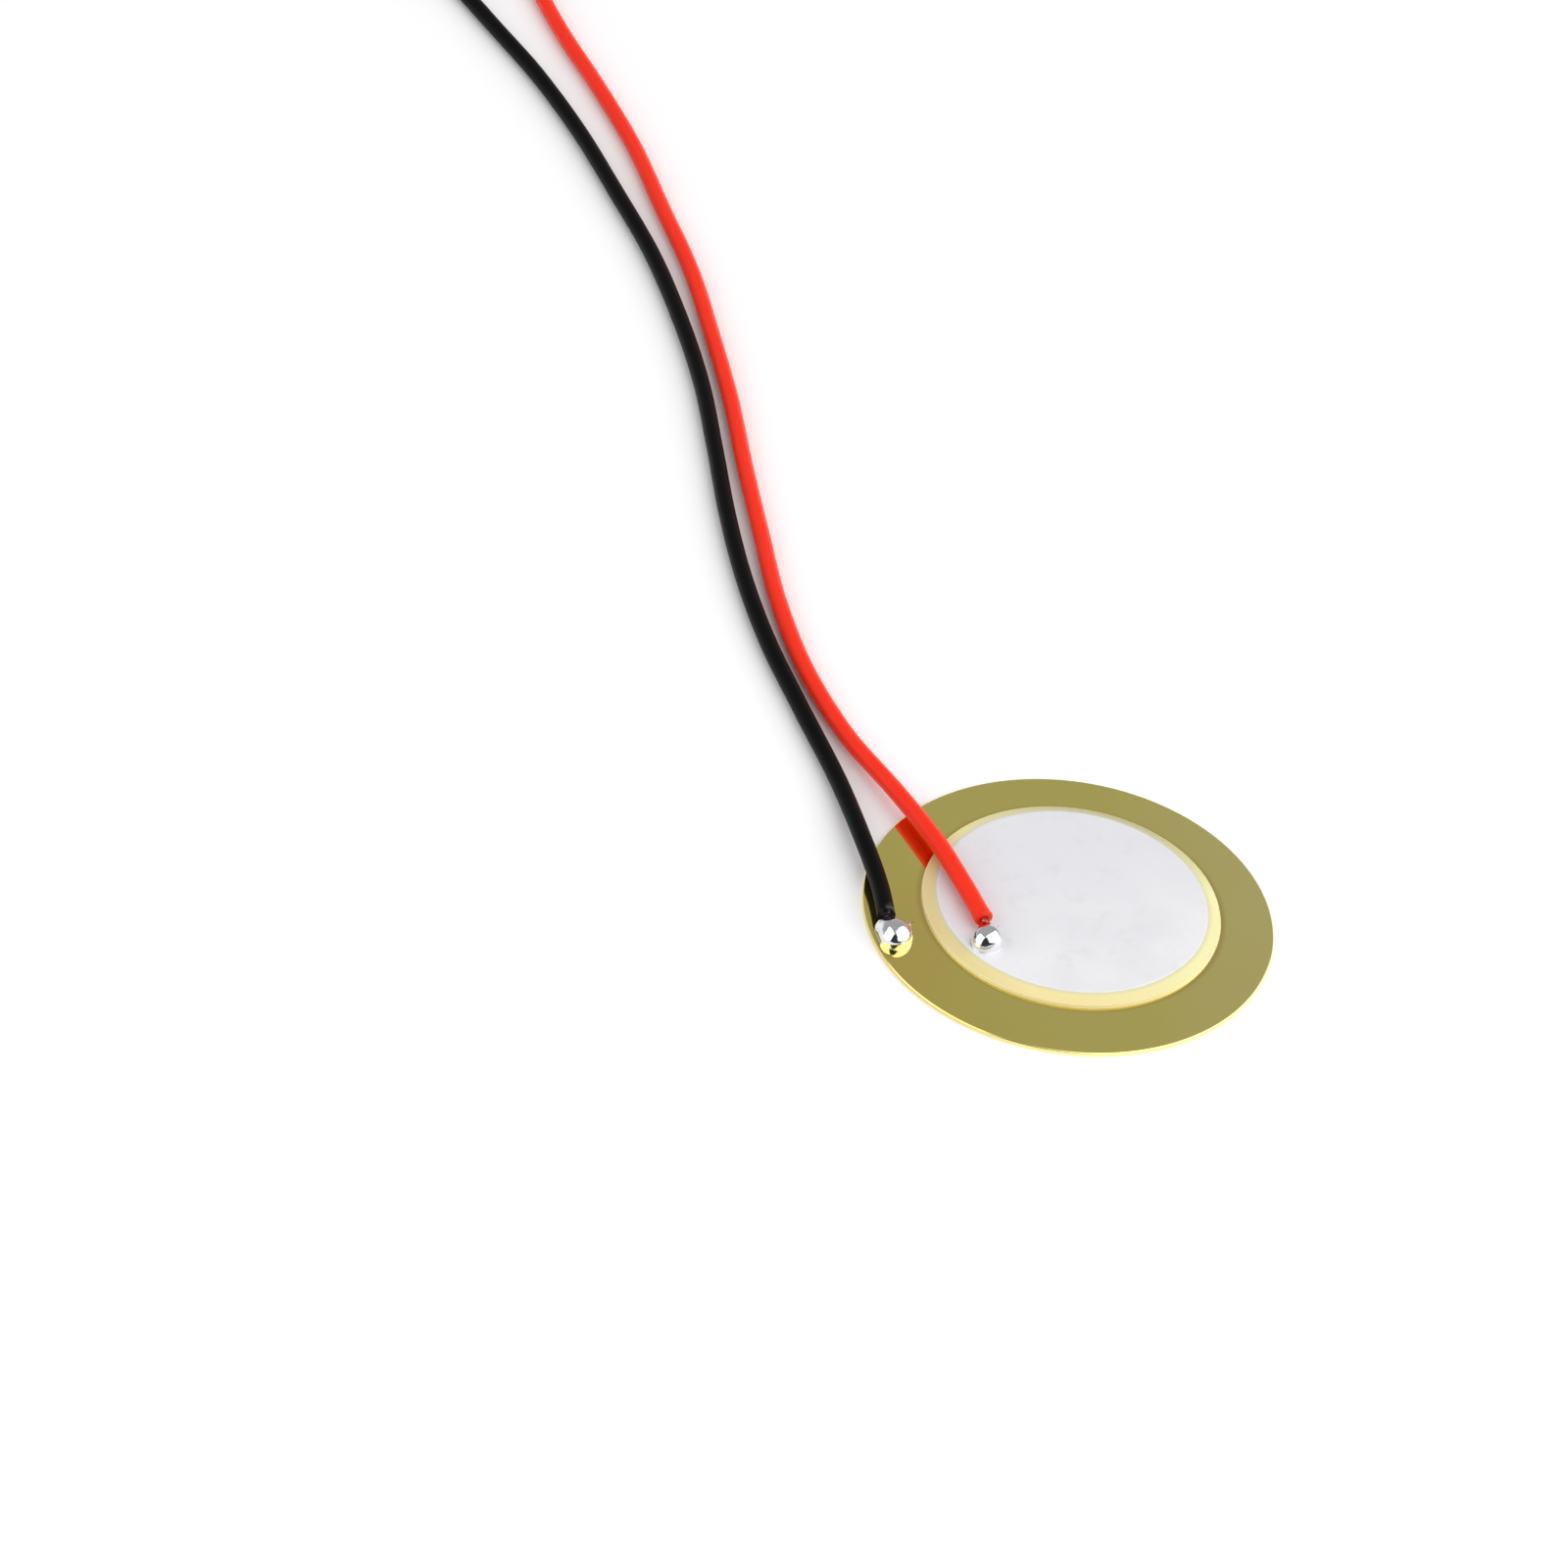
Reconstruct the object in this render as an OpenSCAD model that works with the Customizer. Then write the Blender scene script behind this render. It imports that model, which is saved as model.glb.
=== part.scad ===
// Piezo disc: a brass plate with a bonded piezo ceramic disc and two soldered wire leads.
// Millimetres. The origin is the centre of the brass plate's underside, and +Z is the ceramic's side.

/* [Brass plate] */
// Diameter of the brass plate
plate_d = 27; // [24:0.5:35]
// Thickness of the brass plate
plate_t = 0.3; // [0.2:0.01:0.5]
// Radius of the upper edge, rolled over by the punch
edge_roll = 0.08; // [0.03:0.01:0.12]

/* [Ceramic] */
// Diameter of the ceramic disc
ceramic_d = 19.6; // [16:0.1:22]
// Thickness of the ceramic disc
ceramic_t = 0.19; // [0.12:0.01:0.4]
// Ceramic's centre from the plate's centre, along X
ceramic_x = 0.1; // [-0.8:0.1:0.8]
// Ceramic's centre from the plate's centre, along Y
ceramic_y = 0.6; // [-0.8:0.1:0.8]

/* [Silver electrodes] */
// Thickness of each fired silver layer
silver_t = 0.015; // [0.01:0.005:0.03]
// Bare ceramic margin round the front silver, if it were centred
front_silver_margin = 0.85; // [0.7:0.05:1.5]
// Front silver's centre from the ceramic's centre, along X
front_silver_x = 0; // [-0.3:0.1:0.3]
// Front silver's centre from the ceramic's centre, along Y
front_silver_y = 0.4; // [-0.4:0.1:0.4]
// Bare margin round the rear silver
rear_silver_margin = 0.4; // [0.2:0.1:1]

/* [Bond] */
// Thickness of the adhesive film
bond_t = 0.02; // [0.01:0.005:0.05]
// Radius of the hollow adhesive bead that is squeezed out round the ceramic
bead_r = 0.08; // [0.06:0.01:0.14]

/* [Solder joints] */
// Radius of the ground joint's dome
ground_dome_r = 1.1; // [0.9:0.05:1.25]
// Height of the ground joint's dome
ground_dome_h = 1.3; // [1.25:0.05:1.8]
// Where the ground joint sits round the plate, in degrees from +X
ground_angle = 208; // [202:1:214]
// Brass left bare outside the ground joint
ground_rim_gap = 0.2; // [0.1:0.05:0.6]
// Radius of the signal joint's dome
signal_dome_r = 1.05; // [0.85:0.05:1.15]
// Height of the signal joint's dome
signal_dome_h = 1.2; // [1.15:0.05:1.7]
// Where the signal joint sits round the front silver, in degrees from +X
signal_angle = 229; // [225:1:237]
// Silver left bare outside the signal joint
signal_rim_gap = 0.25; // [0.1:0.05:1]
// Radius of the hollow where the solder wets out at the dome's foot
foot_fillet = 0.1; // [0.06:0.01:0.2]
// Thickness of the wetted film under and around the dome
foot_film = 0.03; // [0.02:0.01:0.06]

/* [Leads] */
// Outer diameter of the insulation
lead_d = 1.2; // [1:0.1:1.4]
// Height of a lead's underside over the face that it is soldered to
lead_rise = 0.15; // [0.1:0.01:0.25]
// Diameter of one copper strand
strand_d = 0.127; // [0.1:0.001:0.16]
// Thickness of the tin on a strand
strand_tin = 0.012; // [0.01:0.001:0.015]
// How far the strands run past the point where they are nearest to the dome's axis
strand_past = 0.4; // [0.2:0.1:0.6]
// Bared length at the far end
tip_length = 5; // [3:0.5:8]
// Thickness of the tin round the far end's strands
tip_tin = 0.02; // [0.01:0.01:0.05]

/* [Hidden] */
$fn = 96;

// Levels of the stack, from the plate's underside up
bond_z = plate_t;
rear_silver_z = bond_z + bond_t;
ceramic_z = rear_silver_z + silver_t;
front_silver_z = ceramic_z + ceramic_t;
front_z = front_silver_z + silver_t;

// Radii and centres of the stacked discs
ceramic_at = [ceramic_x, ceramic_y];
front_silver_at = ceramic_at + [front_silver_x, front_silver_y];
front_silver_r = ceramic_d / 2 - front_silver_margin;
rear_silver_r = ceramic_d / 2 - rear_silver_margin;

// A dome is a ball of radius r whose middle is ball_z up; its foot reaches out to foot_r, under the
// centre of the hollow that touches both the ball and the wetted film, and bites into them by a hair
hollow_z = foot_film + foot_fillet;
hollow_bite = 0.0005;
function ball_z(r, h) = h - r;
function foot_r(r, h) = sqrt(pow(r + foot_fillet, 2) - pow(hollow_z - ball_z(r, h), 2));
ground_foot_r = foot_r(ground_dome_r, ground_dome_h);
signal_foot_r = foot_r(signal_dome_r, signal_dome_h);

// Axes of the two solder joints
function polar(r, a) = [r * cos(a), r * sin(a)];
ground_at = polar(plate_d / 2 - ground_rim_gap - ground_foot_r, ground_angle);
signal_at = front_silver_at
    + polar(front_silver_r - signal_rim_gap - signal_foot_r, signal_angle);

// Routes of the leads: X and Y of the centre line from the joint's axis, and the height of the lead's
// underside over the surface that the disc lies on. The leads leave the joint level and a little to one
// side of its axis, cross the plate and settle on that surface.
ground_exit = plate_t + lead_rise;
signal_exit = front_z + lead_rise;
ground_route = [
    [-0.8, 1.1, ground_exit], [-1.8, 4.4, ground_exit], [-3.5, 8.6, ground_exit], [-6, 14.5, 0.1],
    [-9.4, 21.1, 0], [-12.7, 27.6, 0], [-15.4, 34.1, 0], [-17.7, 41, 0],
    [-19.8, 48.4, 0], [-22, 55.8, 0], [-24.8, 63.1, 0], [-28.1, 70.4, 0],
    [-32, 77.4, 0], [-36, 84.3, 0], [-40.5, 91, 0], [-45.5, 97.3, 0],
    [-50.4, 103.6, 0], [-54.8, 110.4, 0], [-58.6, 117.7, 0], [-61.7, 125.2, 0],
    [-63.1, 129.4, 0]
];
signal_route = [
    [-0.4, 1.3, signal_exit], [-2.2, 4.5, signal_exit], [-4.6, 8.4, signal_exit], [-7.9, 12.9, 0.5],
    [-12, 18.3, 0.1], [-15.7, 24.6, 0], [-18.6, 31.4, 0], [-20.9, 38.5, 0],
    [-23.2, 45.8, 0], [-25.4, 53.2, 0], [-28, 60.7, 0], [-30.8, 68.2, 0],
    [-34.2, 75.5, 0], [-37.6, 82.8, 0], [-41.5, 89.7, 0], [-45.7, 96.6, 0],
    [-49.4, 103.7, 0], [-52.7, 111.1, 0], [-55.5, 118.7, 0], [-57.9, 126.5, 0],
    [-58.9, 131.3, 0]
];

// Sweep settings: rings between two route points, sides round a lead
ring_steps = 2;
lead_sides = 8;

// Six strands lie round one, and the tin on them fuses the bundle
tinned_r = strand_d / 2 + strand_tin;
tip_r = 1.5 * strand_d + tip_tin;

function unit(v) = v / norm(v);
function flat(v) = [v[0], v[1]];
function lift(p, z) = [p[0], p[1], z];
function last(list) = list[len(list) - 1];

// The centre line of a lead whose underside is at p; no lead sinks into the surface that it lies on
function middle(p) = lift(p, max(p[2], 0) + lead_d / 2);

// A point on the smooth curve through the route, which leaves its first point and reaches its last
// one along the straight end segments
function route_at(p, i) =
    i < 0 ? 2 * p[0] - p[1] : i >= len(p) ? 2 * last(p) - p[len(p) - 2] : p[i];
function curve_at(p, i, t) =
    let (a = route_at(p, i - 1), b = route_at(p, i), c = route_at(p, i + 1), d = route_at(p, i + 2))
    b + t / 2 * (c - a + t * (2 * a - 5 * b + 4 * c - d + t * (3 * b - 3 * c + d - a)));
function curve(p) = [
    for (i = [0 : len(p) - 2]) for (k = [0 : ring_steps - 1]) middle(curve_at(p, i, k / ring_steps)),
    middle(last(p))
];

// One ring of a lead: corners on a level axis system square to the curve, flats at the lead's radius
function ring(centre, along, r) =
    let (side = unit(cross(along, [0, 0, 1])), up = cross(side, along))
    let (corner_r = r / cos(180 / lead_sides))
    [for (k = [0 : lead_sides - 1])
        let (a = 360 * (k + 0.5) / lead_sides) centre + corner_r * (cos(a) * side + sin(a) * up)];
function along_at(c, i) = unit(c[min(i + 1, len(c) - 1)] - c[max(i - 1, 0)]);
function end_along(p, c, i) =
    i == 0 ? unit(p[1] - p[0]) : i == len(c) - 1 ? unit(last(p) - p[len(p) - 2]) : along_at(c, i);

module lead(route) {
    c = curve(route);
    n = lead_sides;
    rings = len(c);
    points = [for (i = [0 : rings - 1]) each ring(c[i], end_along(route, c, i), lead_d / 2)];
    sides = [for (i = [0 : rings - 2]) for (k = [0 : n - 1])
        let (a = i * n + k, b = i * n + (k + 1) % n) each [[a, b, b + n], [a, b + n, a + n]]];
    near_end = [for (k = [n - 1 : -1 : 0]) k];
    far_end = [for (k = [0 : n - 1]) (rings - 1) * n + k];
    polyhedron(points = points, faces = concat([near_end], sides, [far_end]), convexity = 10);
}

// The bundle of tinned strands, straight on from the lead's end into the dome on the Z axis
module strand_bundle(route) {
    start = middle(route[0]);
    way = unit(flat(route[0] - route[1]));
    length = strand_past - flat(start) * way;
    translate(start) rotate([0, 90, atan2(way[1], way[0])]) linear_extrude(length) {
        circle(tinned_r, $fn = 24);
        for (k = [0 : 5]) rotate(60 * k) translate([strand_d, 0]) circle(tinned_r, $fn = 24);
    }
}

// Half outline of a dome: a ball sunk into a wetted foot, with a hollow where the two meet. All of it
// starts below the base and is cut off there, so the ball's middle may lie on either side of the base.
module dome_outline(r, h) {
    ball = [0, ball_z(r, h)];
    hollow = [foot_r(r, h), hollow_z];
    intersection() {
        square([r + foot_fillet, h]);
        union() {
            translate(ball) circle(r);
            difference() {
                polygon([[0, -r], [hollow[0], -r], hollow, ball]);
                translate(hollow) circle(foot_fillet + hollow_bite);
            }
        }
    }
}

// A dome on the Z axis that stands on base_z and holds the strands
module solder_joint(route, base_z, r, h) {
    difference() {
        translate([0, 0, base_z]) rotate_extrude() dome_outline(r, h);
        strand_bundle(route);
    }
}

// The tinned far end: a rod with a rounded nose, straight out of the insulation
module tip(route) {
    way = last(route) - route[len(route) - 2];
    translate(middle(last(route))) rotate([0, 90, atan2(way[1], way[0])]) {
        cylinder(r = tip_r, h = tip_length - tip_r, $fn = 32);
        translate([0, 0, tip_length - tip_r]) sphere(r = tip_r, $fn = 32);
    }
}

module brass_plate() {
    r = plate_d / 2;
    color([0.72, 0.66, 0.36]) rotate_extrude($fn = 180) {
        square([r, plate_t - edge_roll]);
        square([r - edge_roll, plate_t]);
        translate([r - edge_roll, plate_t - edge_roll]) circle(edge_roll, $fn = 32);
    }
}

// The film fills the step round the rear silver and ends in a hollow bead up the ceramic's edge
module bond_film() {
    r = ceramic_d / 2;
    color([0.86, 0.82, 0.66]) translate(lift(ceramic_at, bond_z)) rotate_extrude($fn = 180) {
        square([rear_silver_r, bond_t]);
        translate([rear_silver_r, 0]) square([rear_silver_margin, bond_t + silver_t]);
        translate([r, 0]) difference() {
            square(bead_r);
            translate([bead_r, bead_r]) circle(bead_r);
        }
    }
}

module rear_silver() {
    color([0.85, 0.85, 0.87]) translate(lift(ceramic_at, rear_silver_z))
        cylinder(r = rear_silver_r, h = silver_t, $fn = 180);
}

module ceramic_disc() {
    color([0.95, 0.88, 0.6]) translate(lift(ceramic_at, ceramic_z))
        cylinder(d = ceramic_d, h = ceramic_t, $fn = 180);
}

module front_silver() {
    color([0.89, 0.89, 0.91]) translate(lift(front_silver_at, front_silver_z))
        cylinder(r = front_silver_r, h = silver_t, $fn = 180);
}

module ground_solder() {
    color([0.8, 0.8, 0.82]) translate(ground_at)
        solder_joint(ground_route, plate_t, ground_dome_r, ground_dome_h);
}

module signal_solder() {
    color([0.8, 0.8, 0.82]) translate(signal_at)
        solder_joint(signal_route, front_z, signal_dome_r, signal_dome_h);
}

module ground_strands() {
    color([0.75, 0.74, 0.72]) translate(ground_at) strand_bundle(ground_route);
}

module signal_strands() {
    color([0.75, 0.74, 0.72]) translate(signal_at) strand_bundle(signal_route);
}

module ground_lead() {
    color([0.06, 0.06, 0.07]) translate(ground_at) lead(ground_route);
}

module signal_lead() {
    color([0.92, 0.1, 0.07]) translate(signal_at) lead(signal_route);
}

module ground_tip() {
    color([0.75, 0.74, 0.72]) translate(ground_at) tip(ground_route);
}

module signal_tip() {
    color([0.75, 0.74, 0.72]) translate(signal_at) tip(signal_route);
}

brass_plate();
bond_film();
rear_silver();
ceramic_disc();
front_silver();
ground_solder();
signal_solder();
ground_strands();
signal_strands();
ground_lead();
signal_lead();
ground_tip();
signal_tip();
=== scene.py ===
"""Piezo disc: the looks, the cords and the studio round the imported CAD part.

Lengths are in mm up to the making of each mesh, and in metres for the camera, the lamps and the
floor.
"""

from math import cos, pi, radians, sin, sqrt

import bpy
import numpy as np
from mathutils import Matrix, Quaternion, Vector


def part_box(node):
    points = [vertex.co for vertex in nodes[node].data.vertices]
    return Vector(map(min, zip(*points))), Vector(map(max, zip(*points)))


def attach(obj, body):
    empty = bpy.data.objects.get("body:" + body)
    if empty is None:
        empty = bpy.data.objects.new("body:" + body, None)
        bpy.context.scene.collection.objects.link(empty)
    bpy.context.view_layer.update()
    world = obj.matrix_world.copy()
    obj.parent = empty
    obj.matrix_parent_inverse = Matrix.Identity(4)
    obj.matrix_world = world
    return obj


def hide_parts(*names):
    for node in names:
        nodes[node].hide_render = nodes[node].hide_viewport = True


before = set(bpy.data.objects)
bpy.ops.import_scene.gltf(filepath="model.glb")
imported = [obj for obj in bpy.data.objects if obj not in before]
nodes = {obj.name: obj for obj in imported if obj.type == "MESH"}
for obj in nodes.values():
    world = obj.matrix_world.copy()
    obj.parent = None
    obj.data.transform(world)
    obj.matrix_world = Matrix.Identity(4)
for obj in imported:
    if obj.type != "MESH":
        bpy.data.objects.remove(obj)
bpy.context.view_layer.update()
scene = bpy.context.scene
MM = 0.001
UP = np.array([0, 0, 1.0])

# ---------------------------------------------------------------- camera

# Yaw is from +Y, pitch is down, and roll is about the line of sight.
YAW, PITCH, ROLL = radians(3.712), radians(39.74), radians(7.868)
EYE = Vector((0, -0.301458, 0.257886))

ahead = Vector((-sin(YAW) * cos(PITCH), cos(YAW) * cos(PITCH), -sin(PITCH)))
level = Vector((cos(YAW), sin(YAW), 0))
upright = level.cross(ahead)
right = level * cos(ROLL) + upright * sin(ROLL)
up = upright * cos(ROLL) - level * sin(ROLL)

camera = bpy.data.objects.new("camera", bpy.data.cameras.new("camera"))
camera.data.lens, camera.data.sensor_width = 139.5, 36
camera.data.clip_start, camera.data.clip_end = 0.01, 20
turn = Matrix((right, up, -ahead)).transposed().to_4x4()
camera.matrix_world = Matrix.Translation(EYE) @ turn
scene.collection.objects.link(camera)
scene.camera = camera

# ---------------------------------------------------------------- routes and sizes of the leads

# The sizes and the routes are those of the CAD source.
LEAD_R, LEAD_RISE = 0.6, 0.15
# A strand's radius, its distance from the middle one, and how far past the dome's axis it ends.
STRAND_R, STRAND_STEP, STRAND_PAST = 0.0755, 0.127, 0.4
TIP_R, TIP_LENGTH = 0.2105, 5

plate_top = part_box("brass_plate")[1].z / MM
silver_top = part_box("front_silver")[1].z / MM
ground_exit, signal_exit = plate_top + LEAD_RISE, silver_top + LEAD_RISE

# X and Y from the axis of the lead's joint, and the height of the lead's underside.
GROUND_ROUTE = [
    (-0.8, 1.1, ground_exit), (-1.8, 4.4, ground_exit), (-3.5, 8.6, ground_exit), (-6, 14.5, 0.1),
    (-9.4, 21.1, 0), (-12.7, 27.6, 0), (-15.4, 34.1, 0), (-17.7, 41, 0),
    (-19.8, 48.4, 0), (-22, 55.8, 0), (-24.8, 63.1, 0), (-28.1, 70.4, 0),
    (-32, 77.4, 0), (-36, 84.3, 0), (-40.5, 91, 0), (-45.5, 97.3, 0),
    (-50.4, 103.6, 0), (-54.8, 110.4, 0), (-58.6, 117.7, 0), (-61.7, 125.2, 0),
    (-63.1, 129.4, 0),
]
SIGNAL_ROUTE = [
    (-0.4, 1.3, signal_exit), (-2.2, 4.5, signal_exit), (-4.6, 8.4, signal_exit), (-7.9, 12.9, 0.5),
    (-12, 18.3, 0.1), (-15.7, 24.6, 0), (-18.6, 31.4, 0), (-20.9, 38.5, 0),
    (-23.2, 45.8, 0), (-25.4, 53.2, 0), (-28, 60.7, 0), (-30.8, 68.2, 0),
    (-34.2, 75.5, 0), (-37.6, 82.8, 0), (-41.5, 89.7, 0), (-45.7, 96.6, 0),
    (-49.4, 103.7, 0), (-52.7, 111.1, 0), (-55.5, 118.7, 0), (-57.9, 126.5, 0),
    (-58.9, 131.3, 0),
]


def axis_of(node):
    """X and Y of a round node's axis, in mm."""
    low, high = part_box(node)
    return np.array([(low.x + high.x) / 2 / MM, (low.y + high.y) / 2 / MM])


def disc_of(node):
    """The middle and the radius of a round node, in mm."""
    low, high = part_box(node)
    return (low + high) / 2 / MM, (high.x - low.x) / 2 / MM


def centre_line(route, at, steps):
    """The lead's centre line: the smooth curve through the route, as in the CAD source."""
    p = np.array(route, float)
    p = np.vstack([2 * p[0] - p[1], p, 2 * p[-1] - p[-2]])
    line = []
    for i in range(1, len(p) - 2):
        a, b, c, d = p[i - 1 : i + 3]
        for t in np.arange(steps) / steps:
            curved = 2 * a - 5 * b + 4 * c - d + t * (3 * b - 3 * c + d - a)
            line.append(b + t / 2 * (c - a + t * curved))
    line = np.array(line + [p[-2]])
    line[:, 2] = np.maximum(line[:, 2], 0) + LEAD_R
    line[:, :2] += at
    return line


# ---------------------------------------------------------------- helpers for meshes


def piece(name, points, faces, material, stands_for):
    """A smooth mesh made from points in mm, which rides on the disc and stands for a CAD node."""
    mesh = bpy.data.meshes.new(name)
    mesh.from_pydata((np.asarray(points, float) * MM).tolist(), [], faces)
    mesh.shade_smooth()
    mesh.materials.append(material)
    mesh.update()
    made = bpy.data.objects.new(name, mesh)
    scene.collection.objects.link(made)
    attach(made, "root")
    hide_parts(stands_for)
    return made


def grid_faces(rings, sides, first=0):
    """Quads between rings of points, each ring closed on itself."""
    return [
        (first + a, first + a + sides, first + b + sides, first + b)
        for i in range(rings - 1)
        for a, b in ((i * sides + k, i * sides + (k + 1) % sides) for k in range(sides))
    ]


def tube_faces(rings, sides, first=0):
    """Quads between rings of points, and a flat face across the first ring and the last."""
    last = first + (rings - 1) * sides
    ends = [tuple(range(first, first + sides)), tuple(range(last, last + sides))[::-1]]
    return grid_faces(rings, sides, first) + ends


def capped(rings, top, bottom):
    """A closed surface on the Z axis, from rings of points, the highest first, and the heights of
    its two middles."""
    n, sides = rings.shape[:2]
    points = [*rings.reshape(-1, 3), (0, 0, top), (0, 0, bottom)]
    faces = grid_faces(n, sides)
    faces += [(n * sides, k, (k + 1) % sides) for k in range(sides)]
    low = (n - 1) * sides
    faces += [(n * sides + 1, low + (k + 1) % sides, low + k) for k in range(sides)]
    return np.array(points), faces


def circle(sides):
    """That many angles, evenly round a circle."""
    return 2 * pi * np.arange(sides) / sides


def turned_from(side, top, angles):
    """Unit vectors at angles from side towards top."""
    return np.cos(angles)[..., None] * side + np.sin(angles)[..., None] * top


def axes_along(line):
    """Unit vectors along a line, level across it, and up from it, at each of its points."""
    along = np.gradient(line, axis=0)
    along[0], along[-1] = line[1] - line[0], line[-1] - line[-2]
    along /= np.linalg.norm(along, axis=1)[:, None]
    side = np.cross(along, UP)
    side /= np.linalg.norm(side, axis=1)[:, None]
    return along, side, np.cross(side, along)


def waves(a, seed, terms=5):
    """Smooth noise round a circle, about -1 to 1, for angles a."""
    r = np.random.default_rng(seed)
    peak = 1.6
    return sum(
        r.uniform(0.5, 1) / k * np.sin(k * a + r.uniform(0, 2 * pi)) for k in range(1, terms + 1)
    ) / peak


def wander(x, seed, step):
    """Smooth noise along a line, about -1 to 1, for places x and a wave as long as step."""
    r = np.random.default_rng(seed)
    longer = (1, 1.7, 2.9)
    return sum(0.5 * np.sin(2 * pi * x / (step * f) + r.uniform(0, 2 * pi)) for f in longer)


def lathed(node, profile, uneven):
    """A closed surface on a round node's axis and underside, from (radius, height) points, top
    middle to bottom middle. uneven changes its rings, an array of rings by sides by 3."""
    a = circle(360)
    rings = np.array([[(r * cos(t), r * sin(t), z) for t in a] for r, z in profile[1:-1]])
    points, faces = capped(uneven(rings, a), profile[0][1], profile[-1][1])
    middle = disc_of(node)[0]
    return points + [middle.x, middle.y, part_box(node)[0].z / MM], faces


def arc(centre, radius, start, end, steps):
    """Points of an arc, for angles in degrees from the outward direction."""
    return [
        (centre[0] + radius * cos(radians(t)), centre[1] + radius * sin(radians(t)))
        for t in np.linspace(start, end, steps)
    ]


# ---------------------------------------------------------------- materials


class Look:
    """A node material: a Principled surface whose sockets are set plainly or fed by procedural
    patterns. Its places, reaches and depths are in mm."""

    def __init__(self, name, colour, **sockets):
        self.material = bpy.data.materials.new(name)
        self.material.use_nodes = True
        self.tree = self.material.node_tree
        self.surface = self.tree.nodes["Principled BSDF"]
        self.surface.inputs["Base Color"].default_value = (*colour, 1)
        for socket, value in sockets.items():
            self.surface.inputs[socket.replace("_", " ")].default_value = value
        place = self.tree.nodes.new("ShaderNodeTexCoord")
        self.place = self.mapped(place.outputs["Object"], (1 / MM,) * 3)
        self.bumped = None

    def link(self, start, end):
        """A link from one socket to another."""
        self.tree.links.new(start, end)

    def mapped(self, vector, scale, turn=(0, 0, 0)):
        """A place scaled and turned."""
        node = self.tree.nodes.new("ShaderNodeMapping")
        node.inputs["Scale"].default_value = scale
        node.inputs["Rotation"].default_value = turn
        self.link(vector, node.inputs["Vector"])
        return node.outputs["Vector"]

    def noise(self, scale, detail=3, stretch=(1, 1, 1), turn=(0, 0, 0), roughness=0.5):
        """Noise with that many cycles per mm."""
        node = self.tree.nodes.new("ShaderNodeTexNoise")
        node.inputs["Scale"].default_value = scale
        node.inputs["Detail"].default_value = detail
        node.inputs["Roughness"].default_value = roughness
        self.link(self.mapped(self.place, stretch, turn), node.inputs["Vector"])
        return node.outputs["Fac"]

    def ranged(self, value, low, high, start=0.0, end=1.0):
        """value mapped from low..high to start..end, and kept there."""
        node = self.tree.nodes.new("ShaderNodeMapRange")
        for socket, x in zip(("From Min", "From Max", "To Min", "To Max"), (low, high, start, end)):
            node.inputs[socket].default_value = x
        self.link(value, node.inputs["Value"])
        return node.outputs["Result"]

    def near(self, point, inner, outer, start=1.0, end=0.0):
        """start within inner mm of a point, turning to end at outer mm."""
        node = self.tree.nodes.new("ShaderNodeVectorMath")
        node.operation = "DISTANCE"
        self.link(self.place, node.inputs[0])
        node.inputs[1].default_value = point
        return self.ranged(node.outputs["Value"], inner, outer, start, end)

    def towards(self, azimuth, low, high):
        """0 to 1 across the disc towards an azimuth in degrees, between two distances from its
        centre."""
        node = self.tree.nodes.new("ShaderNodeVectorMath")
        node.operation = "DOT_PRODUCT"
        self.link(self.place, node.inputs[0])
        node.inputs[1].default_value = (cos(radians(azimuth)), sin(radians(azimuth)), 0)
        return self.ranged(node.outputs["Value"], low, high)

    def times(self, a, b):
        """A pattern times another pattern or a number."""
        node = self.tree.nodes.new("ShaderNodeMath")
        node.operation = "MULTIPLY"
        self.link(a, node.inputs[0])
        if isinstance(b, (int, float)):
            node.inputs[1].default_value = b
        else:
            self.link(b, node.inputs[1])
        return node.outputs["Value"]

    def tint(self, factor, colour):
        """The base colour so far, mixed towards another colour by a pattern."""
        node = self.tree.nodes.new("ShaderNodeMix")
        node.data_type = "RGBA"
        base = self.surface.inputs["Base Color"]
        if base.links:
            self.link(base.links[0].from_socket, node.inputs["A"])
        else:
            node.inputs["A"].default_value = base.default_value
        node.inputs["B"].default_value = (*colour, 1)
        self.link(factor, node.inputs["Factor"])
        self.link(node.outputs["Result"], base)

    def rough(self, pattern, low, high):
        """Roughness between two values, by a pattern."""
        self.link(self.ranged(pattern, 0.3, 0.7, low, high), self.surface.inputs["Roughness"])

    def bump(self, height, depth):
        """A relief of that depth, laid over the relief so far."""
        node = self.tree.nodes.new("ShaderNodeBump")
        node.inputs["Strength"].default_value = 1
        node.inputs["Distance"].default_value = depth * MM
        self.link(height, node.inputs["Height"])
        if self.bumped:
            self.link(self.bumped, node.inputs["Normal"])
        self.bumped = node.outputs["Normal"]
        self.link(self.bumped, self.surface.inputs["Normal"])


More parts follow.
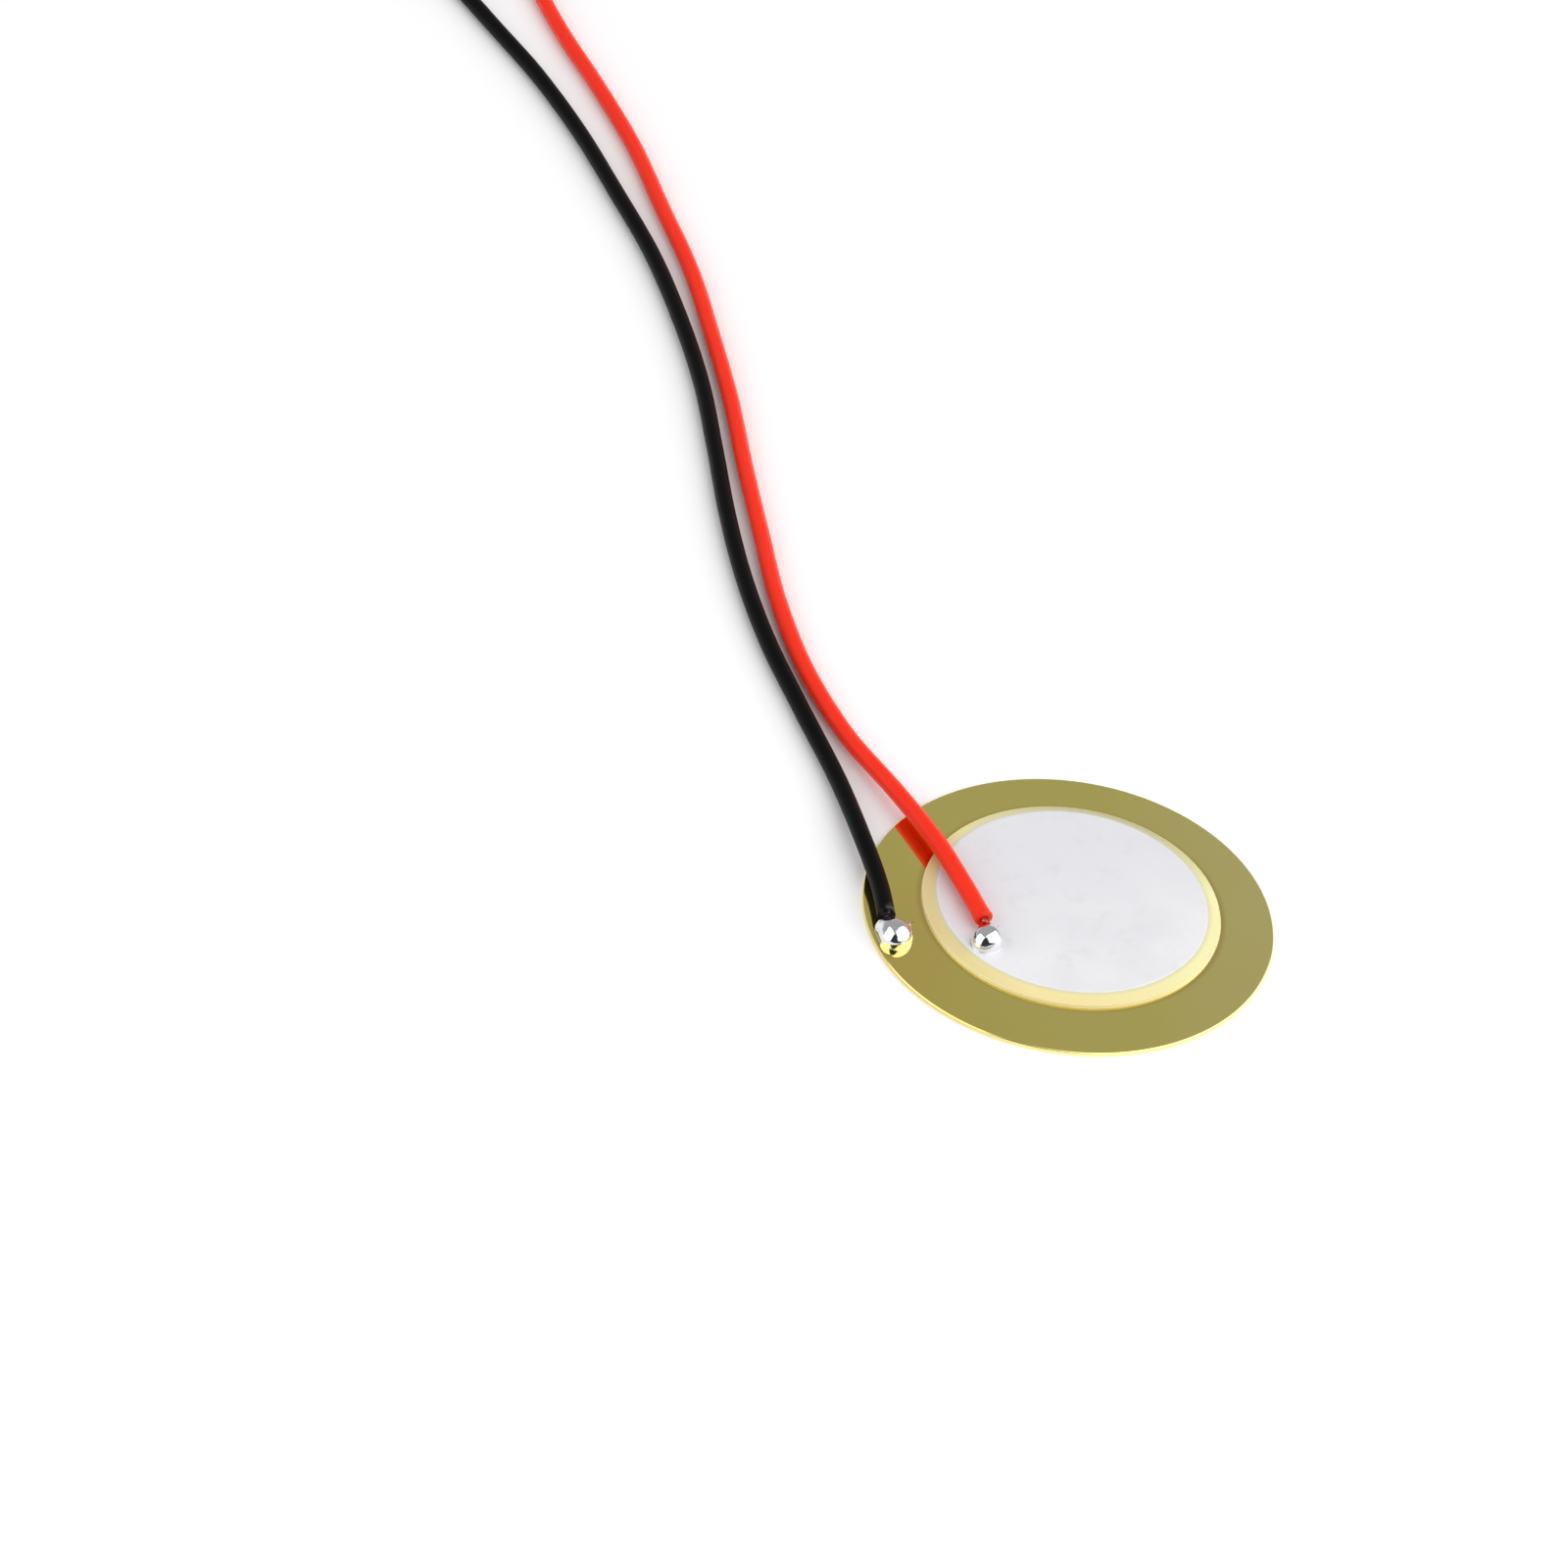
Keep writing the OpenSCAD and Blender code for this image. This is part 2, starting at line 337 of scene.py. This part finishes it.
def brass_look(joint, rim, ceramic_at, ceramic_r):
    """Rolled brass: warmer round the soldered joint; with painted light, paler towards the right and
    darker towards the front left; a painted shade round the adhesive bead's foot; and a painted
    highlight along its rim, warmer towards the front left as a painted reflection."""
    look = Look("brass", (0.88, 0.77, 0.22), Metallic=1.0)
    # Painted light on the metal: paler towards the right, darker and warmer towards the front left.
    look.tint(look.towards(15, 4, 13), (0.92, 0.82, 0.33))
    look.tint(look.towards(-150, 4, 13), (0.85, 0.71, 0.17))
    look.tint(look.ranged(look.noise(0.11, 2), 0.35, 0.7, 0, 0.3), (0.91, 0.75, 0.21))
    look.tint(look.times(look.near(joint, 0.8, 6), 0.5), (0.90, 0.66, 0.18))
    flecks = look.noise(2.2, 5, roughness=0.7)
    look.tint(look.ranged(flecks, 0.66, 0.74, 0, 0.35), (0.68, 0.55, 0.18))
    # Painted shade: darker round the foot of the adhesive bead, next to the ceramic.
    bead_foot_shade = look.near(ceramic_at, ceramic_r + 0.12, ceramic_r + 0.5, 0.75, 0)
    look.tint(bead_foot_shade, (0.66, 0.50, 0.12))
    # Painted highlight: paler along the rim.
    rim_highlight = look.near((0, 0, 0), rim - 0.09, rim - 0.03, 0, 1)
    look.tint(rim_highlight, (0.97, 0.92, 0.42))
    # Painted reflection: the rim's highlight warmer towards the front left.
    look.tint(look.times(rim_highlight, look.towards(-150, 4, 12)), (0.93, 0.78, 0.28))
    look.rough(look.noise(0.5, 4), 0.05, 0.10)
    look.bump(look.noise(0.14, 1), 0.012)
    look.bump(look.noise(5, 2, stretch=(0.12, 3, 1), turn=(0, 0, 0.5)), 0.0003)
    return look.material


def silver_look():
    """Fired silver: matt and cloudy, with painted light and shade across it."""
    look = Look("fired_silver", (0.86, 0.86, 0.88), Metallic=0.15)
    # Painted light and shade: lighter towards the right, darker towards the back left.
    look.tint(look.towards(20, 2, 9), (0.90, 0.90, 0.91))
    look.tint(look.towards(110, -5, 6), (0.79, 0.79, 0.82))
    look.tint(look.ranged(look.noise(0.28, 4), 0.38, 0.68, 0, 0.6), (0.78, 0.78, 0.81))
    blots = look.noise(0.7, 4, roughness=0.6)
    look.tint(look.ranged(blots, 0.55, 0.72, 0, 0.5), (0.72, 0.73, 0.74))
    look.rough(look.noise(1.1, 4), 0.36, 0.5)
    look.bump(look.noise(0.9, 3), 0.004)
    look.bump(look.noise(14, 2), 0.0012)
    return look.material


def ceramic_look(silver_at, silver_r, ceramic_at, ceramic_r):
    """Fired ceramic, with painted light and shade round the disc, a painted shade just outside the
    electrode's edge, and a painted highlight along its outer edge and side."""
    look = Look("piezo_ceramic", (0.90, 0.86, 0.44), Roughness=0.35)
    # Painted light and shade: warmer towards the front, darker towards the left, darkest towards the
    # back.
    look.tint(look.towards(-100, 2, 9), (0.86, 0.73, 0.34))
    look.tint(look.times(look.towards(-170, 3, 9), 0.8), (0.66, 0.53, 0.24))
    look.tint(look.times(look.towards(85, 5, 10), 0.85), (0.42, 0.38, 0.20))
    grains = look.noise(3.5, 5, roughness=0.7)
    look.tint(look.ranged(grains, 0.5, 0.75, 0, 0.25), (0.80, 0.68, 0.38))
    # Painted shade just outside the electrode's edge.
    electrode_edge_shade = look.near(silver_at, silver_r + 0.05, silver_r + 0.36)
    look.tint(look.times(electrode_edge_shade, 0.6), (0.62, 0.62, 0.46))
    # Painted highlight along the ceramic's outer edge and its side wall.
    side = look.near(ceramic_at, ceramic_r - 0.03, ceramic_r - 0.01, 0, 0.8)
    look.tint(side, (0.98, 0.93, 0.56))
    look.bump(look.noise(9, 3), 0.0015)
    return look.material


def adhesive_look():
    """Cured adhesive: smooth and wet-looking, browner in places, and warmer towards the front as a
    painted reflection of the brass.
    """
    look = Look("cured_adhesive", (0.88, 0.81, 0.44), Roughness=0.14, Coat_Weight=0.5)
    # Painted reflection of the brass: warmer and darker towards the front.
    look.tint(look.towards(-110, 1, 8), (0.83, 0.68, 0.35))
    look.tint(look.ranged(look.noise(0.9, 3), 0.4, 0.65, 0, 0.6), (0.84, 0.71, 0.34))
    look.bump(look.noise(4, 2), 0.004)
    return look.material


def solder_look():
    """Bright solder, with the soft dents that it sets with."""
    look = Look("solder", (0.82, 0.82, 0.84), Metallic=1.0)
    look.tint(look.ranged(look.noise(1.4, 4), 0.5, 0.72, 0, 0.5), (0.70, 0.71, 0.73))
    look.rough(look.noise(2.5, 4), 0.05, 0.13)
    look.bump(look.noise(1.1, 2), 0.03)
    look.bump(look.noise(16, 3), 0.0008)
    return look.material


def tinned_look():
    """Tinned copper, with the copper showing through in places."""
    look = Look("tinned_copper", (0.76, 0.74, 0.71), Metallic=1.0)
    look.tint(look.ranged(look.noise(3, 4), 0.5, 0.7, 0, 0.6), (0.66, 0.58, 0.50))
    look.rough(look.noise(6, 3), 0.19, 0.26)
    look.bump(look.noise(18, 3), 0.002)
    return look.material


def pvc_look(name, colour, scorch_and_sheen_at, scorch_and_sheen_colour, reach, **sockets):
    """Extruded PVC, with a patch of another colour within a reach of a point at the soldered end:
    the scorch that the iron left on the red lead, and a painted highlight on the black one."""
    look = Look(name, colour, **sockets)
    darker = [0.82 * c + 0.004 for c in colour]
    look.tint(look.ranged(look.noise(0.3, 3), 0.35, 0.7, 0, 0.12), darker)
    # Near the soldered end: scorch on the red lead, a painted highlight on the black one.
    scorch_and_sheen = look.times(look.near(scorch_and_sheen_at, 0.1, reach), look.ranged(look.noise(2.4, 3), 0.42, 0.6))
    look.tint(scorch_and_sheen, scorch_and_sheen_colour)
    look.rough(look.noise(0.9, 4), 0.29, 0.4)
    look.bump(look.noise(1.3, 2), 0.012)
    look.bump(look.noise(9, 3), 0.0015)
    return look.material


# ---------------------------------------------------------------- the two leads

# The insulation's outline at its two ends, ring by ring: distance from the end, and radius.
MOUTH = [
    (0.5, 0.235), (0.12, 0.245), (0.04, 0.27), (0, 0.34),
    (0, 0.44), (0.02, 0.52), (0.06, 0.57), (0.12, 0.594),
]
CUT = [(0.05, 0.6), (0.015, 0.588), (0, 0.56), (0, 0.35), (0.03, 0.24)]
WIRE_SIDES, STRAND_SIDES, TIP_SIDES = 32, 10, 48
# How far from the soldered end the heat swelled, lipped and drew back the insulation, and the step
# of the ripples that it left.
SWELL_REACH, LIP_REACH, SHRINK_REACH = 0.8, 0.45, 0.3
RIPPLE_STEP = 0.42
# Up to where the rings stand close, and their steps there and beyond.
CLOSE_TO, CLOSE_STEP, WIDE_STEP = 4, 0.08, 0.3
# The length of one twist of the strands and of the tip.
STRAND_TWIST, TIP_TWIST = 4.5, 6
# How far the strands and the tip reach into the insulation.
STRAND_IN, TIP_IN = 0.45, 0.3
# The tip's nose, its length and radius, and the least radius of the tin in the tip's grooves.
NOSE, NOSE_R, TIN_R = 0.3, 0.2, 0.185


def wire(kind, route, material, seed, lip, lip_at):
    """A lead's insulation: the soldered end drawn back and lipped by the heat, the far end cut
    square. Returns it, its centre line and its length."""
    line = centre_line(route, axis_of(kind + "_solder"), 20)
    along, side, top = axes_along(line)
    at = np.concatenate([[0], np.cumsum(np.linalg.norm(np.diff(line, axis=0), axis=1))])
    close = np.arange(0.2, CLOSE_TO, CLOSE_STEP)
    wide = np.arange(CLOSE_TO, at[-1] - 0.1, WIDE_STEP)
    stops = MOUTH + [(x, LEAD_R) for x in (*close, *wide)] + [(at[-1] - x, r) for x, r in CUT]
    a = circle(WIRE_SIDES)
    rim = waves(a, seed)
    points = []
    for x, r in stops:
        c, way, s, t = (
            np.array([np.interp(x, at, v[:, k]) for k in range(3)])
            for v in (line, along, side, top)
        )
        # Uneven and a little oval as extruded, then swollen, rippled and lipped by the heat.
        grow = 1 + 0.006 * wander(x, seed, 9) + 0.004 * wander(x, seed + 1, 2.3)
        grow = grow + 0.006 * np.cos(2 * a + x / 6)
        ripple = np.sin(2 * pi * x / RIPPLE_STEP + 2 * rim)
        grow += np.exp(-x / SWELL_REACH) * (0.035 * rim + 0.02 * ripple)
        grow += lip * np.exp(-x / LIP_REACH) * np.maximum(0, np.cos(a - lip_at)) ** 3
        back = 0.07 * (1 + rim) * np.exp(-x / SHRINK_REACH)
        ring = c + (r * grow)[:, None] * turned_from(s, t, a) + back[:, None] * way
        ring[:, 2] = np.maximum(ring[:, 2], 0)
        points.append(ring)
    faces = tube_faces(len(points), WIRE_SIDES)
    made = piece(kind + "_insulation", np.vstack(points), faces, material, kind + "_lead")
    return made, line, at[-1]


def exit_axes(route):
    """Unit vectors from the dome out along the lead's end and level across it, and the place of
    the lead's mouth along each of them, all from the dome's axis."""
    out = np.array(route[1][:2]) - route[0][:2]
    out /= np.linalg.norm(out)
    across = np.array([-out[1], out[0]])
    return out, across, out @ route[0][:2], across @ route[0][:2]


def strands(kind, route, material, seed):
    """Seven tinned strands, twisted, from inside the dome into the mouth of the insulation."""
    out, across, reach, aside = exit_axes(route)
    way, side = np.array([*out, 0]), np.array([*across, 0])
    base = np.array([*(axis_of(kind + "_solder") + aside * across), route[0][2] + LEAD_R])
    r = np.random.default_rng(seed)
    xs = np.linspace(-STRAND_PAST, reach + STRAND_IN, 34)
    a = circle(STRAND_SIDES)
    points, faces = [], []
    for k in range(7):
        # Six strands round a middle one, each a little off its place.
        apart = STRAND_STEP * (k > 0) * (1 + 0.03 * r.uniform(-1, 1))
        twist = 2 * pi * (k / 6 + xs / STRAND_TWIST) + 0.06 * r.uniform(-1, 1)
        core = base + xs[:, None] * way + apart * turned_from(side, UP, twist)
        _, s, t = axes_along(core)
        rings = core[:, None] + STRAND_R * turned_from(s[:, None], t[:, None], a)
        faces += tube_faces(len(xs), len(a), first=k * len(xs) * len(a))
        points.append(rings.reshape(-1, 3))
    name = kind + "_strand_bundle"
    return piece(name, np.vstack(points), faces, material, kind + "_strands")


def tip(kind, line, material, seed):
    """The tinned far end: twisted strands whose grooves the tin half fills, and a rounded nose."""
    way = line[-1] - line[-2]
    way /= np.linalg.norm(way)
    side = np.cross(way, UP)
    top = np.cross(side, way)
    a = circle(TIP_SIDES)
    shank = np.linspace(-TIP_IN, TIP_LENGTH - NOSE, 70)
    xs = [*shank, *(TIP_LENGTH - NOSE * (1 - np.sin(np.linspace(0.1, 1.5, 12))))]
    strand = TIP_R - STRAND_STEP
    points = []
    for x in xs:
        # Angles from the nearest strand's middle, and how far out the strand's surface is there.
        lobe = (a - 2 * pi * x / TIP_TWIST) % (pi / 3) - pi / 6
        bulge = np.sqrt(np.maximum(strand**2 - (STRAND_STEP * np.sin(lobe)) ** 2, 0))
        r = np.maximum(STRAND_STEP * np.cos(lobe) + bulge, TIN_R)
        r *= 1 - 0.02 * (1 + wander(x, seed, 1.6))
        # How much of the nose lies behind x.
        share = max(0, (x - TIP_LENGTH + NOSE) / NOSE)
        r = (r * (1 - share) + NOSE_R * share) * sqrt(max(0.01, 1 - share**2))
        points.append(line[-1] + x * way + r[:, None] * turned_from(side, top, a))
    name, faces = kind + "_tinned_end", tube_faces(len(xs), TIP_SIDES)
    return piece(name, np.vstack(points), faces, material, kind + "_tip")


# ---------------------------------------------------------------- the two solder joints

# The sides of a joint, the rings over it, the rings of its foot, and the foot's height.
JOINT_SIDES, JOINT_RINGS, FOOT_RINGS, FOOT = 160, 72, 8, 0.03
# How far past a ball's surface a ray looks for the solder's own, and in how many steps.
RAY_PAST, RAY_STEPS = 1.1, 80
# Slow waves over the ball: how many, and along what.
SWELLS = [(3.1, (1, 0.2, 0.4)), (4.3, (-0.3, 1, 0.2)), (5.2, (0.4, -0.5, 1))]


def smooth_min(a, b, blend):
    """The lesser of two distances, rounded off where they are nearly the same."""
    return np.minimum(a, b) - np.maximum(blend - abs(a - b), 0) ** 2 / (4 * blend)


def rod(p, start, end, r_start, r_end):
    """Distance of points from a tapered rod with round ends."""
    way = end - start
    share = np.clip((p - start) @ way / (way @ way), 0, 1)
    off = np.linalg.norm(p - start - share[..., None] * way, axis=-1)
    return off - (r_start + (r_end - r_start) * share)


def solder(kind, route, base, r, h, material, seed, arms):
    """A ball of solder of radius r and height h that fills the gap to the insulation, with arms
    where it ran out over the metal. An arm is a rod: from, to, two radii and how softly it joins.
    Places are along the lead, to the left of it and up, from the dome's axis."""
    out, across, reach, aside = exit_axes(route)
    core = route[0][2] + LEAD_R - base
    heart = np.array([0, 0, h - r])
    # The neck fills the gap to the insulation, a little below the strands' middle.
    neck_from, neck_to = (0.3 * r, 0.7 * aside, core - 0.35), (reach - 0.36, aside, core - 0.3)
    neck = (neck_from, neck_to, 0.6, 0.46, 0.35)
    rods = [(np.array(start), np.array(end), *sizes) for start, end, *sizes in [neck, *arms]]

    def outside(p):
        """How far points lie outside the solder, or inside it where less than 0."""
        ray = p - heart
        away = np.linalg.norm(ray, axis=-1)
        ray = ray / away[..., None]
        swell = sum(
            np.sin(f * (ray @ np.array(d)) + k * seed) for k, (f, d) in enumerate(SWELLS, 1)
        )
        field = away - r * (1 + 0.012 * swell)
        for start, end, r_start, r_end, blend in rods:
            field = smooth_min(field, rod(p, start, end, r_start, r_end), blend)
        return field

    def reached(origin, ray):
        """How far each ray goes from origin before it leaves the solder."""
        t = np.linspace(0.5 * r, r + RAY_PAST, RAY_STEPS)
        field = outside(origin + ray[..., None, :] * t[:, None])
        last = np.minimum((field < 0).cumprod(-1).sum(-1), len(t) - 1)
        f = [np.take_along_axis(field, (last - k)[..., None], -1)[..., 0] for k in (1, 0)]
        return t[last - 1] + (t[1] - t[0]) * f[0] / (f[0] - f[1])

    # The wall just above the foot, the rings from the top down to it, and the hollow foot round it.
    a = circle(JOINT_SIDES)
    level = np.stack([np.cos(a), np.sin(a), 0 * a], -1)
    foot = FOOT * (1 + 0.45 * waves(a, seed, 9))
    wall = np.array([reached((0, 0, f), way[None])[0] for f, way in zip(foot, level)])
    lowest = np.arctan2(foot - heart[2], wall)
    lift = pi / 2 + (lowest - pi / 2) * np.linspace(0, 1, JOINT_RINGS)[1:, None]
    ray = turned_from(level, UP, lift)
    rings = heart + reached(heart, ray)[..., None] * ray
    t = np.linspace(0, pi / 2, FOOT_RINGS)[1:, None]
    spread = wall + foot * (1 - np.cos(t))
    skirt = spread[..., None] * level + (foot * (1 - np.sin(t)))[..., None] * UP
    top = heart[2] + reached(heart, UP[None])[0]
    points, faces = capped(np.vstack([rings, skirt]), top, 0)
    points = points @ np.array([[*out, 0], [*across, 0], [0, 0, 1]])
    points += [*axis_of(kind + "_solder"), base]
    return piece(kind + "_solder_joint", points, faces, material, kind + "_solder")


# ---------------------------------------------------------------- adhesive and front electrode


def adhesive_bead(material):
    """The film under the ceramic, which leaves room for the rear silver, and the uneven bead that
    it squeezed out round the ceramic's edge."""
    edge, silver_r = disc_of("ceramic_disc")[1], disc_of("rear_silver")[1]
    bead = disc_of("bond_film")[1] - edge
    low, under, sunk = (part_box(node)[0].z for node in ("bond_film", "ceramic_disc", "rear_silver"))
    under, sunk = (under - low) / MM, (sunk - low) / MM
    profile = [(0, sunk), (silver_r, sunk), (silver_r, under), (edge, under), (edge, bead)]
    profile += arc((edge + bead, bead), bead, 180, 270, 12)[1:] + [(0, 0)]

    def uneven(rings, a):
        out = np.hypot(rings[..., 0], rings[..., 1]) - edge
        # The bead's width round the ceramic, as a share of its greatest.
        share = 0.78 + 0.12 * waves(a, 5, 40) + 0.1 * waves(3 * a, 8, 9)
        share = np.clip(share, 0.45, 1)
        new = edge + np.where(out > 0, out * share, out)
        rings[..., 2] = np.where(out >= 0, rings[..., 2] * (0.8 + 0.2 * share), rings[..., 2])
        rings[..., :2] *= (new / (edge + out))[..., None]
        return rings

    points, faces = lathed("bond_film", profile, uneven)
    return piece("adhesive_bead", points, faces, material, "bond_film")


def electrode(material):
    """The front electrode, printed and fired: a hair thicker along its slightly uneven edge."""
    low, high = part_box("front_silver")
    edge, t = disc_of("front_silver")[1], (high.z - low.z) / MM
    profile = [
        (0, 0.6 * t), (edge * 0.5, 0.6 * t), (edge - 0.45, 0.62 * t), (edge - 0.3, 0.8 * t),
        (edge - 0.18, t), (edge - 0.07, 0.97 * t), (edge - 0.02, 0.6 * t), (edge, 0.1 * t),
        (edge, 0), (0, 0),
    ]
    ragged = 0.6

    def uneven(rings, a):
        # Only points within the ragged margin move, by less than 0.05 mm.
        out = np.hypot(rings[..., 0], rings[..., 1])
        near = np.clip((out - edge + ragged) / ragged, 0, 1)
        shift = near * (0.02 * waves(a, 3, 12) + 0.012 * waves(7 * a, 4, 7) - 0.02)
        rings[..., :2] *= (1 + shift / np.maximum(out, 1))[..., None]
        return rings

    points, faces = lathed("front_silver", profile, uneven)
    return piece("silver_print", points, faces, material, "front_silver")


# ---------------------------------------------------------------- build

ground_at, signal_at = axis_of("ground_solder"), axis_of("signal_solder")
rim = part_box("brass_plate")[1].x / MM
ceramic_disc = disc_of("ceramic_disc")

brass = brass_look((*ground_at, plate_top), rim, *ceramic_disc)
silver = silver_look()
tinned = tinned_look()
solder_metal = solder_look()
black = pvc_look(
    "black_pvc", (0.0035, 0.003, 0.003), Specular_IOR_Level=0.06,
    # The grey patch at the black lead's end is a painted highlight.
    scorch_and_sheen_at=(*(ground_at + GROUND_ROUTE[0][:2] + [0.35, 0.2]), 1.3), scorch_and_sheen_colour=(0.13, 0.13, 0.135),
    reach=0.9,
)
red = pvc_look(
    "red_pvc", (0.86, 0.03, 0.008), Specular_IOR_Level=0.22,
    Subsurface_Weight=0.8, Subsurface_Radius=(1, 0.1, 0.05), Subsurface_Scale=1.2 * MM,
    # The brown patch at the red lead's end is scorch from the iron.
    scorch_and_sheen_at=(*(signal_at + SIGNAL_ROUTE[0][:2] + [0.5, 0.3]), 1.4), scorch_and_sheen_colour=(0.42, 0.10, 0.02),
    reach=0.8,
)
ceramic = ceramic_look(*disc_of("front_silver"), *ceramic_disc)

for node, material, slot in (
    ("brass_plate", brass, "brass"),
    ("ceramic_disc", ceramic, "piezo_ceramic"),
    ("rear_silver", silver, "silver"),
):
    nodes[node].data.materials.clear()
    nodes[node].data.materials.append(material)

for kind, route, material, slot, seed, lip, lip_at in (
    ("ground", GROUND_ROUTE, black, "black_insulation", 11, 0.05, 2.6),
    ("signal", SIGNAL_ROUTE, red, "red_insulation", 23, 0.10, 0.5),
):
    insulation, line, length = wire(kind, route, material, seed, lip, lip_at)
    bundle = strands(kind, route, tinned, seed)
    end = tip(kind, line, tinned, seed)

# Radii and heights of the domes are as in the CAD source.
solder("ground", GROUND_ROUTE, plate_top, r=1.1, h=1.3, material=solder_metal, seed=3, arms=[
    ((0.3, 0, 0.3), (0.9, 0.7, 0.1), 0.75, 0.5, 0.6),
    ((0.9, -0.75, 0.15), (1.25, -1.34, 0.34), 0.26, 0.04, 0.2),
])
solder("signal", SIGNAL_ROUTE, silver_top, r=1.05, h=1.2, material=solder_metal, seed=8, arms=[
    ((0.5, -0.5, 0.6), (0.66, -1.08, 0.66), 0.24, 0.03, 0.2),
])
adhesive_bead(adhesive_look())
electrode(silver)

# ---------------------------------------------------------------- studio

FLOOR_HALF = 4


def softbox(name, azimuth, elevation, distance, width, height, radiance, roll):
    """A soft lamp that faces the disc. Azimuth is from +X towards +Y."""
    data = bpy.data.lights.new(name, "AREA")
    data.shape, data.size, data.size_y = "RECTANGLE", width, height
    data.energy = radiance * pi * width * height
    lamp = bpy.data.objects.new(name, data)
    a, e = radians(azimuth), radians(elevation)
    lamp.location = Vector((cos(a) * cos(e), sin(a) * cos(e), sin(e))) * distance
    lamp.rotation_mode = "QUATERNION"
    rolled = Quaternion((0, 0, 1), radians(roll))
    lamp.rotation_quaternion = lamp.location.to_track_quat("Z", "Y") @ rolled
    scene.collection.objects.link(lamp)


mesh = bpy.data.meshes.new("floor")
corners = [(FLOOR_HALF * x, FLOOR_HALF * y, 0) for x, y in ((-1, -1), (1, -1), (1, 1), (-1, 1))]
mesh.from_pydata(corners, [], [(0, 1, 2, 3)])
pale = Look("floor", (0.97, 0.97, 0.972), Roughness=0.9, Specular_IOR_Level=0.0)
mesh.materials.append(pale.material)
floor = bpy.data.objects.new("floor", mesh)
scene.collection.objects.link(floor)

softbox(
    "box_right", azimuth=-8, elevation=43, distance=0.7,
    width=1.5, height=1.15, radiance=1.54, roll=-28,
)
softbox(
    "box_left", azimuth=208, elevation=28, distance=0.7,
    width=0.8, height=0.75, radiance=1.6, roll=12,
)

world = bpy.data.worlds.new("studio")
scene.world = world
world.use_nodes = True
tree = world.node_tree
place = tree.nodes.new("ShaderNodeTexCoord").outputs["Generated"]


def lobe(way, inner, outer):
    """1 towards a direction, falling to 0; inner and outer are angles in degrees."""
    dot = tree.nodes.new("ShaderNodeVectorMath")
    dot.operation = "DOT_PRODUCT"
    tree.links.new(place, dot.inputs[0])
    dot.inputs[1].default_value = Vector(way).normalized()
    ramp = tree.nodes.new("ShaderNodeMapRange")
    ramp.interpolation_type = "SMOOTHSTEP"
    ramp.inputs["From Min"].default_value = cos(radians(outer))
    ramp.inputs["From Max"].default_value = cos(radians(inner))
    tree.links.new(dot.outputs["Value"], ramp.inputs["Value"])
    return ramp.outputs["Result"]


def over(below, colour, factor):
    """A colour, or the sky so far, mixed towards another colour."""
    mix = tree.nodes.new("ShaderNodeMix")
    mix.data_type = "RGBA"
    if isinstance(below, tuple):
        mix.inputs["A"].default_value = (*below, 1)
    else:
        tree.links.new(below, mix.inputs["A"])
    mix.inputs["B"].default_value = (*colour, 1)
    tree.links.new(factor, mix.inputs["Factor"])
    return mix.outputs["Result"]


# A pale wall all round, a grey ceiling, and the dark of the room behind the photographer.
sky = over((0.92, 0.92, 0.93), (0.41, 0.41, 0.415), lobe((0, 0, 1), 78, 88))
sky = over(sky, (0.04, 0.04, 0.045), lobe((0.12, -0.95, 0.22), 38, 52))
tree.links.new(sky, tree.nodes["Background"].inputs["Color"])

scene.view_settings.view_transform = "Standard"
